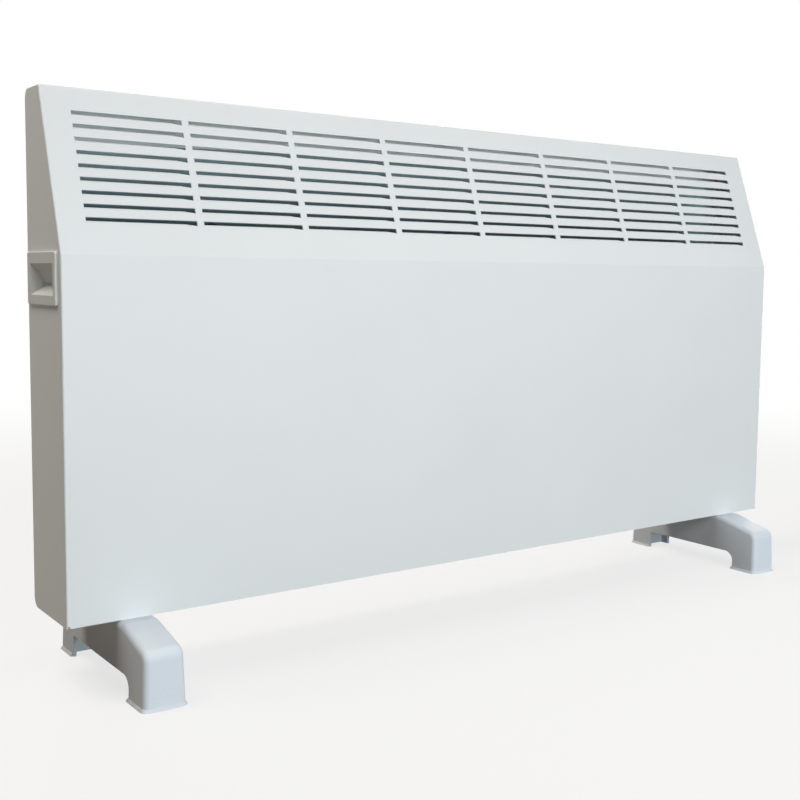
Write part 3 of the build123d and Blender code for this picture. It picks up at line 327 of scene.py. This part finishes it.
def add_screw(mesh, seat):
    """One screw in a mesh: head, cross recess and shank, on a seat whose Z points out of the head."""
    steps = [-v / 1000 for v in reversed(GRID_MM[1:])] + [v / 1000 for v in GRID_MM]
    rows = [[mesh.verts.new(seat @ head_point(u, v)) for v in steps] for u in steps]
    last = len(steps) - 1
    for i in range(last):
        for j in range(last):
            mesh.faces.new((rows[i][j], rows[i + 1][j], rows[i + 1][j + 1], rows[i][j + 1]))
    edge = [rows[i][0] for i in range(last)] + [rows[last][j] for j in range(last)]
    edge += [rows[i][last] for i in range(last, 0, -1)] + [rows[0][j] for j in range(last, 0, -1)]
    count = len(edge)
    first_corner = -3 * pi / 4
    angles = [first_corner + 2 * pi * i / count for i in range(count)]
    rings = [edge]
    profile = [
        (HEAD_RADIUS, 0.0),
        (SHANK_RADIUS, 0.0),
        (SHANK_RADIUS, -SHANK_LENGTH),
        (TIP_RADIUS, -SHANK_LENGTH),
    ]
    for radius, depth in profile:
        points = [seat @ Vector((radius * cos(angle), radius * sin(angle), depth)) for angle in angles]
        rings.append([mesh.verts.new(point) for point in points])
    for upper, lower in zip(rings, rings[1:]):
        for i in range(count):
            j = (i + 1) % count
            mesh.faces.new((upper[i], lower[i], lower[j], upper[j]))
    mesh.faces.new(rings[-1])


def closed_mesh(name, mesh):
    """Mesh data made of a bmesh, with its faces turned outwards."""
    bmesh.ops.recalc_face_normals(mesh, faces=mesh.faces)
    data = bpy.data.meshes.new(name)
    mesh.to_mesh(data)
    mesh.free()
    return data


def new_piece(data, place, finish, body):
    """A piece made of a mesh or curve at a place, with its finish and slot, that rides on a body."""
    data.materials.append(finish)
    piece = bpy.data.objects.new(data.name, data)
    piece.matrix_world = place
    bpy.context.scene.collection.objects.link(piece)
    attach(piece, body)
    return piece


mesh = bmesh.new()
outwards = Matrix.Rotation(radians(-90), 4, "X")
for i, (x, z) in enumerate(SCREW_PLACES):
    turned = Matrix.Rotation(i * SCREW_TURN, 4, "Z")
    add_screw(mesh, Matrix.Translation((x, SEAT_Y, z)) @ outwards @ turned)
screws = closed_mesh("back_panel_screws", mesh)
pan_heads = new_piece(screws, Matrix.Identity(4), steel, "case")
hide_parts("back_screws")


# Ceramic bushes and terminal block.  Pressed steatite with a thin glaze, cream and a little
# mottled.
MOTTLE_MM = 2.5
steatite, tree, shader, place = new_finish("glazed_steatite", {"Roughness": 0.25, "IOR": 1.52})
mottle = add_node(
    tree,
    "ShaderNodeTexNoise",
    values={"Scale": per_metre(MOTTLE_MM), "Detail": 3.0},
    links={"Vector": (place, "Object")},
)
cream = add_node(
    tree,
    "ShaderNodeMix",
    settings={"data_type": "RGBA"},
    values={MIX_A: linear("#EEE9DC"), MIX_B: linear("#DDD5C2")},
    links={"Factor": (mottle, "Fac")},
)
tree.links.new(cream.outputs[MIX_RESULT], shader.inputs["Base Color"])
dress(steatite, "ceramic_bushes", "terminal_block")


# Side grips, control panel, knob and shaft.  Moulded ABS in the colour of the case, with a fine
# spark-eroded texture that takes the shine off; its pits are coloured a touch darker, as painted shade.
# The pits are really about 0.2 mm across, and drawn coarser to show.
SPARK_MM = 0.8
abs_plastic, tree, shader, place = new_finish(
    "spark_textured_abs", {"Roughness": 0.5, "IOR": 1.53, "Specular IOR Level": 0.3}
)
spark = add_node(
    tree,
    "ShaderNodeTexNoise",
    values={"Scale": per_metre(SPARK_MM), "Detail": 4.0},
    links={"Vector": (place, "Object")},
)
bump = add_node(
    tree,
    "ShaderNodeBump",
    values={"Strength": 0.2, "Distance": 0.0001},
    links={"Height": (spark, "Fac")},
)
# Painted shade: the low pits of the spark texture are coloured darker.
painted_pit_shade = add_node(
    tree,
    "ShaderNodeMix",
    settings={"data_type": "RGBA"},
    values={MIX_A: linear("#DFE2E2"), MIX_B: linear("#EDF0F0")},
    links={"Factor": (spark, "Fac")},
)
tree.links.new(painted_pit_shade.outputs[MIX_RESULT], shader.inputs["Base Color"])
tree.links.new(bump.outputs["Normal"], shader.inputs["Normal"])
dress(abs_plastic, "left_grip", "right_grip", "control_panel", "thermostat_knob", "thermostat_shaft")


# Thermostat, switches, tilt switch and cable bush.  Moulded glass-filled nylon, black and satin.
# The glass fibres lie just under the skin and leave it a little uneven, drawn coarser to show.
FIBRE_MM = 1.2
nylon, tree, shader, place = new_finish(
    "black_nylon", {"Base Color": linear("#191A1C"), "Roughness": 0.38, "IOR": 1.53}
)
fibres = add_node(
    tree,
    "ShaderNodeTexNoise",
    values={"Scale": per_metre(FIBRE_MM), "Detail": 4.0},
    links={"Vector": (place, "Object")},
)
bump = add_node(
    tree,
    "ShaderNodeBump",
    values={"Strength": 0.12, "Distance": 0.0001},
    links={"Height": (fibres, "Fac")},
)
tree.links.new(bump.outputs["Normal"], shader.inputs["Normal"])
dress(
    nylon,
    "thermostat",
    "switch_body_front",
    "switch_body_rear",
    "rocker_front",
    "rocker_rear",
    "tilt_switch",
    "cable_bush",
)


# Dial print.  Pad-printed grey ink on the control panel: a wedge that grows with the heat, a mark
# and a number at each step, and a ring at the top where the thermostat is off.
joints = {joint["name"]: joint for joint in frame["joints"]}
KNOB_Y, KNOB_Z = joints["thermostat_turn"]["pos_m"][1:]
PANEL_RECESS = 0.0035
PANEL_FACE_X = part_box("control_panel")[1].x - PANEL_RECESS
INK_THICKNESS = 0.00004
INK_PATCH_MM = 0.9
WEDGE_RADIUS = 0.0187
WEDGE_THIN_END = 0.0002
WEDGE_GROWTH = 0.0012
WEDGE_START = 30
WEDGE_END = joints["thermostat_turn"]["range_deg"][1]
WEDGE_QUADS = 60
STEPS = range(1, 7)
STEP_DEGREES = 45
TICK_START = 0.0206
TICK_END = 0.0221
TICK_HALF_WIDTH = 0.00025
OFF_RING_RADII = (0.0009, 0.0013)
OFF_RING_QUADS = 24
NUMBER_RADIUS = 0.0246
NUMBER_HEIGHT = 0.0035


def printed_ink(name, hex_colour):
    """A finish of pad-printed ink, a little uneven where the pad pressed less."""
    finish, tree, shader, place = new_finish(name, {"Roughness": 0.55, "IOR": 1.5})
    cover = add_node(
        tree,
        "ShaderNodeTexNoise",
        values={"Scale": per_metre(INK_PATCH_MM), "Detail": 2.0},
        links={"Vector": (place, "Object")},
    )
    tone = add_node(
        tree,
        "ShaderNodeMapRange",
        values={"To Min": 0.88, "To Max": 1.0},
        links={"Value": (cover, "Fac")},
    )
    colour = add_node(
        tree,
        "ShaderNodeMix",
        settings={"data_type": "RGBA", "blend_type": "MULTIPLY"},
        values={"Factor": 1.0, MIX_A: linear(hex_colour)},
        links={MIX_B: (tone, "Result")},
    )
    tree.links.new(colour.outputs[MIX_RESULT], shader.inputs["Base Color"])
    return finish


def add_print(mesh, outline, plane):
    """A flat printed shape with the thickness of the ink, from its outline on a plane."""
    top = [mesh.verts.new(plane @ Vector((u, v, INK_THICKNESS))) for u, v in outline]
    base = [mesh.verts.new(plane @ Vector((u, v, -INK_THICKNESS))) for u, v in outline]
    mesh.faces.new(top)
    mesh.faces.new(base[::-1])
    for i in range(len(outline)):
        j = (i + 1) % len(outline)
        mesh.faces.new((top[i], base[i], base[j], top[j]))


def bar(half_width, low, high):
    """The outline of an upright bar on the middle of a plane."""
    return [(-half_width, low), (half_width, low), (half_width, high), (-half_width, high)]


def arc_band(start, end, inner, first_outer, last_outer, count):
    """Quads of a band round the origin, clockwise from the top, whose outer radius grows evenly."""
    quads = []
    for i in range(count):
        corners = []
        for k, is_outer in ((i, False), (i, True), (i + 1, True), (i + 1, False)):
            turn = radians(start + (end - start) * k / count)
            outer = first_outer + (last_outer - first_outer) * k / count
            radius = outer if is_outer else inner
            corners.append((radius * sin(turn), radius * cos(turn)))
        quads.append(corners)
    return quads


def ring(radii, count):
    """Quads of a plain ring round the origin."""
    inner, outer = radii
    return arc_band(0, 360, inner, outer, outer, count)


# On a plane that faces right, X runs to the back of the heater and Y upwards.
facing_right = Matrix(((0, 0, 1, 0), (1, 0, 0, 0), (0, 1, 0, 0), (0, 0, 0, 1)))
dial = Matrix.Translation((PANEL_FACE_X, KNOB_Y, KNOB_Z)) @ facing_right
grey_ink = printed_ink("grey_pad_print", "#5F666B")
mesh = bmesh.new()
thin_radius = WEDGE_RADIUS + WEDGE_THIN_END
wide_radius = thin_radius + WEDGE_GROWTH
for quad in arc_band(WEDGE_START, WEDGE_END, WEDGE_RADIUS, thin_radius, wide_radius, WEDGE_QUADS):
    add_print(mesh, quad, dial)
for step in STEPS:
    turn = Matrix.Rotation(radians(-STEP_DEGREES * step), 4, "Z")
    add_print(mesh, bar(TICK_HALF_WIDTH, TICK_START, TICK_END), dial @ turn)
off_place = Matrix.Translation((0.0, TICK_END, 0.0))
for quad in ring(OFF_RING_RADII, OFF_RING_QUADS):
    add_print(mesh, quad, dial @ off_place)
new_piece(closed_mesh("dial_print", mesh), Matrix.Identity(4), grey_ink, "case")
for step in STEPS:
    figure = bpy.data.curves.new("dial_number_%d" % step, "FONT")
    figure.body = str(step)
    figure.size = NUMBER_HEIGHT
    figure.extrude = INK_THICKNESS
    figure.align_x = "CENTER"
    figure.align_y = "CENTER"
    turn = radians(STEP_DEGREES * step)
    beside_tick = Matrix.Translation((NUMBER_RADIUS * sin(turn), NUMBER_RADIUS * cos(turn), 0.0))
    new_piece(figure, dial @ beside_tick, grey_ink, "case")


# Knob pointer and rocker marks.  Paint in the knob's groove, and a white bar and ring for on and
# off printed on the rocker keys, so they turn with them.
GROOVE_DEPTH = 0.0008
GROOVE_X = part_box("thermostat_knob")[1].x - GROOVE_DEPTH
POINTER_HALF_WIDTH = 0.0006
POINTER_START = 0.0031
POINTER_END = 0.0129
KEYS = ("front", "rear")
# At rest a key is tilted to off, and its halves lean back from its crown by the same angle.
KEY_TILT = 10
KEY_CROWN = 0.0052
MARK_TO_CROWN = 0.0046
ON_BAR_HALF_WIDTH = 0.00032
ON_BAR_HALF_HEIGHT = 0.0016
OFF_MARK_RADII = (0.0011, 0.0016)
OFF_MARK_QUADS = 28
dark_paint = printed_ink("grey_groove_paint", "#50575C")
white_ink = printed_ink("white_pad_print", "#DFE2E3")
mesh = bmesh.new()
groove = Matrix.Translation((GROOVE_X, KNOB_Y, KNOB_Z)) @ facing_right
add_print(mesh, bar(POINTER_HALF_WIDTH, POINTER_START, POINTER_END), groove)
new_piece(closed_mesh("pointer_paint", mesh), Matrix.Identity(4), dark_paint, "knob")
for key in KEYS:
    mesh = bmesh.new()
    pivot = Matrix.Translation(joints[key + "_rocker_press"]["pos_m"])
    crown = pivot @ Matrix.Rotation(radians(KEY_TILT), 4, "Y") @ Matrix.Translation((KEY_CROWN, 0.0, 0.0))
    on_lean = Matrix.Rotation(radians(KEY_TILT), 4, "Y")
    on_face = crown @ on_lean @ Matrix.Translation((0.0, 0.0, MARK_TO_CROWN)) @ facing_right
    add_print(mesh, bar(ON_BAR_HALF_WIDTH, -ON_BAR_HALF_HEIGHT, ON_BAR_HALF_HEIGHT), on_face)
    off_lean = Matrix.Rotation(radians(-KEY_TILT), 4, "Y")
    off_face = crown @ off_lean @ Matrix.Translation((0.0, 0.0, -MARK_TO_CROWN)) @ facing_right
    for quad in ring(OFF_MARK_RADII, OFF_MARK_QUADS):
        add_print(mesh, quad, off_face)
    marks = closed_mesh("rocker_marks_" + key, mesh)
    new_piece(marks, Matrix.Identity(4), white_ink, "rocker_key_" + key)


# Switch tabs.  Blanked from brass strip and pressed into the backs of the switches, where they have
# tarnished a little.
TARNISH_MM = 3
brass, tree, shader, place = new_finish("blanked_brass", {"Metallic": 1.0, "Roughness": 0.3})
tarnish = add_node(
    tree,
    "ShaderNodeTexNoise",
    values={"Scale": per_metre(TARNISH_MM), "Detail": 3.0},
    links={"Vector": (place, "Object")},
)
yellow = add_node(
    tree,
    "ShaderNodeMix",
    settings={"data_type": "RGBA"},
    values={MIX_A: linear("#D9BF77"), MIX_B: linear("#B8964D")},
    links={"Factor": (tarnish, "Fac")},
)
tree.links.new(yellow.outputs[MIX_RESULT], shader.inputs["Base Color"])
dress(brass, "switch_tabs")


# Feet.  Hollow moulded polypropylene, open below and screwed under the base.  It has a cooler tone
# than the paint and a fine, even spark texture, drawn coarser to show.
FOOT_SPARK_MM = 1.0
polypropylene, tree, shader, place = new_finish(
    "moulded_polypropylene", {"Roughness": 0.48, "IOR": 1.49, "Specular IOR Level": 0.12}
)
spark = add_node(
    tree,
    "ShaderNodeTexNoise",
    values={"Scale": per_metre(FOOT_SPARK_MM), "Detail": 4.0},
    links={"Vector": (place, "Object")},
)
bump = add_node(
    tree,
    "ShaderNodeBump",
    values={"Strength": 0.2, "Distance": 0.0001},
    links={"Height": (spark, "Fac")},
)
# Painted shade: the low pits of the spark texture are coloured darker.
painted_pit_shade = add_node(
    tree,
    "ShaderNodeMix",
    settings={"data_type": "RGBA"},
    values={MIX_A: linear("#DCE4EC"), MIX_B: linear("#EAF1F8")},
    links={"Factor": (spark, "Fac")},
)
tree.links.new(painted_pit_shade.outputs[MIX_RESULT], shader.inputs["Base Color"])
tree.links.new(bump.outputs["Normal"], shader.inputs["Normal"])
dress(polypropylene, "foot_left", "foot_right")


# Floor and studio.  Matt pale paper that runs out into the white of the studio, so it shows only the
# heater's soft shadow.  Where light bounces off it, it acts as a matt brown, so that the light which
# comes up from below is weak and warm.
FLOOR_RADIUS = 6.0
FLOOR_SIDES = 64
FADE_START = 0.7
FADE_END = 2.4
GLOW_AT_HEATER = 0.74


def seen_rays(tree):
    """A node that is 1 for the rays that show the studio: straight, refracted or mirrored ones."""
    path = add_node(tree, "ShaderNodeLightPath")
    straight = add_node(
        tree,
        "ShaderNodeMath",
        settings={"operation": "MAXIMUM"},
        links={0: (path, "Is Camera Ray"), 1: (path, "Is Transmission Ray")},
    )
    return add_node(
        tree,
        "ShaderNodeMath",
        settings={"operation": "MAXIMUM"},
        links={0: (straight, "Value"), 1: (path, "Is Glossy Ray")},
    )


angles = [2 * pi * i / FLOOR_SIDES for i in range(FLOOR_SIDES)]
rim = [(FLOOR_RADIUS * cos(angle), FLOOR_RADIUS * sin(angle), 0.0) for angle in angles]
floor_mesh = bpy.data.meshes.new("floor")
floor_mesh.from_pydata(rim, [], [list(range(FLOOR_SIDES))])
floor = bpy.data.objects.new("floor", floor_mesh)
bpy.context.scene.collection.objects.link(floor)
pale = bpy.data.materials.new("pale_studio_floor")
pale.use_nodes = True
tree = pale.node_tree
tree.nodes.clear()
place = add_node(tree, "ShaderNodeTexCoord")
reach = add_node(
    tree,
    "ShaderNodeVectorMath",
    settings={"operation": "LENGTH"},
    links={"Vector": (place, "Object")},
)
fade = add_node(
    tree,
    "ShaderNodeMapRange",
    settings={"interpolation_type": "SMOOTHSTEP"},
    values={"From Min": FADE_START, "From Max": FADE_END, "To Min": GLOW_AT_HEATER, "To Max": 1.0},
    links={"Value": (reach, "Value")},
)
matt = add_node(tree, "ShaderNodeBsdfDiffuse", values={"Color": linear("#6A5844")})
glow = add_node(tree, "ShaderNodeEmission", values={"Color": linear("#FFFFFF"), "Strength": 1.0})
shaded = add_node(tree, "ShaderNodeBsdfDiffuse", values={"Color": linear("#E6E6E6")})
paper = add_node(
    tree,
    "ShaderNodeMixShader",
    links={0: (fade, "Result"), 1: (shaded, "BSDF"), 2: (glow, "Emission")},
)
blend = add_node(
    tree,
    "ShaderNodeMixShader",
    links={0: (seen_rays(tree), "Value"), 1: (matt, "BSDF"), 2: (paper, "Shader")},
)
add_node(tree, "ShaderNodeOutputMaterial", links={"Surface": (blend, "Shader")})
floor_mesh.materials.append(pale)

# The world is white to the rays that show it, and a faint warm fill to all others.
world = bpy.data.worlds.new("studio")
bpy.context.scene.world = world
world.use_nodes = True
tree = world.node_tree
tree.nodes.clear()
room = add_node(tree, "ShaderNodeBackground", values={"Color": (1.0, 0.96, 0.92, 1.0), "Strength": 0.01})
backdrop = add_node(tree, "ShaderNodeBackground", values={"Color": linear("#FFFFFF"), "Strength": 1.0})
blend = add_node(
    tree,
    "ShaderNodeMixShader",
    links={0: (seen_rays(tree), "Value"), 1: (room, "Background"), 2: (backdrop, "Background")},
)
add_node(tree, "ShaderNodeOutputWorld", links={"Surface": (blend, "Shader")})


# Lamps.  Rectangular softboxes: three cool or warm ones before the heater, whose mix gives its front,
# slope and feet their tones, one above its left side, and two that light the back and the right.
def softbox(name, stand, aim, size, watts, colour):
    """A large rectangular lamp on a stand, aimed at a point."""
    lamp = bpy.data.lights.new(name, "AREA")
    lamp.shape = "RECTANGLE"
    lamp.size, lamp.size_y = size
    lamp.energy = watts
    lamp.color = colour
    holder = bpy.data.objects.new(name, lamp)
    holder.location = stand
    holder.rotation_euler = (Vector(aim) - Vector(stand)).to_track_quat("-Z", "Y").to_euler()
    bpy.context.scene.collection.objects.link(holder)


LOW_WINDOW = (0.84, 0.96, 1.0)
HIGH_WINDOW = (0.80, 0.87, 1.0)
WARM_STRIP = (1.0, 0.83, 0.68)
WARM_WHITE = (1.0, 0.94, 0.82)
SOFT_WHITE = (1.0, 0.98, 0.95)
softbox("window_softbox", (0.05, -2.0, 0.17), (0.0, 0.0, 0.28), (1.7, 0.2), 20.6, LOW_WINDOW)
softbox("front_softbox", (-0.15, -2.2, 1.3), (-0.1, 0.0, 0.28), (1.2, 0.6), 15.4, HIGH_WINDOW)
softbox("strip_softbox", (-0.05, -0.95, 0.72), (-0.05, 0.0, 0.33), (1.4, 0.3), 2.8, WARM_STRIP)
softbox("overhead_softbox", (-1.3, 0.4, 2.4), (-0.3, 0.0, 0.3), (1.2, 1.2), 32.5, WARM_WHITE)
softbox("rear_softbox", (0.5, 2.6, 1.1), (0.0, 0.0, 0.25), (1.2, 1.0), 30.0, SOFT_WHITE)
softbox("right_softbox", (2.5, 0.8, 0.8), (0.4, 0.0, 0.25), (1.0, 1.0), 24.0, SOFT_WHITE)


# Camera.  It stands at the front left, a little above the middle of the case, as the photograph's
# did.  The yaw is its turn to the right of square on, and the centre is where the lens axis meets
# the picture.
CAMERA_PLACE = (-0.6739, -0.84005, 0.3187)
CAMERA_YAW = 35.79
CAMERA_PITCH = -5.32
CAMERA_ROLL = 0.64
IMAGE_SIZE = 800
SENSOR_MM = 36.0
FOCAL_PX = 1133.9
CENTRE_PX = (407.97, 378.75)
camera = bpy.data.cameras.new("camera")
camera.sensor_width = SENSOR_MM
camera.lens = FOCAL_PX / IMAGE_SIZE * SENSOR_MM
camera.shift_x = (IMAGE_SIZE / 2 - CENTRE_PX[0]) / IMAGE_SIZE
camera.shift_y = (CENTRE_PX[1] - IMAGE_SIZE / 2) / IMAGE_SIZE
tripod = bpy.data.objects.new("camera", camera)
heading = Matrix.Rotation(radians(-CAMERA_YAW), 4, "Z")
tilt = Matrix.Rotation(radians(90 + CAMERA_PITCH), 4, "X")
roll = Matrix.Rotation(radians(CAMERA_ROLL), 4, "Z")
tripod.matrix_world = Matrix.Translation(CAMERA_PLACE) @ heading @ tilt @ roll
bpy.context.scene.collection.objects.link(tripod)
bpy.context.scene.camera = tripod
bpy.context.scene.view_settings.view_transform = "Standard"
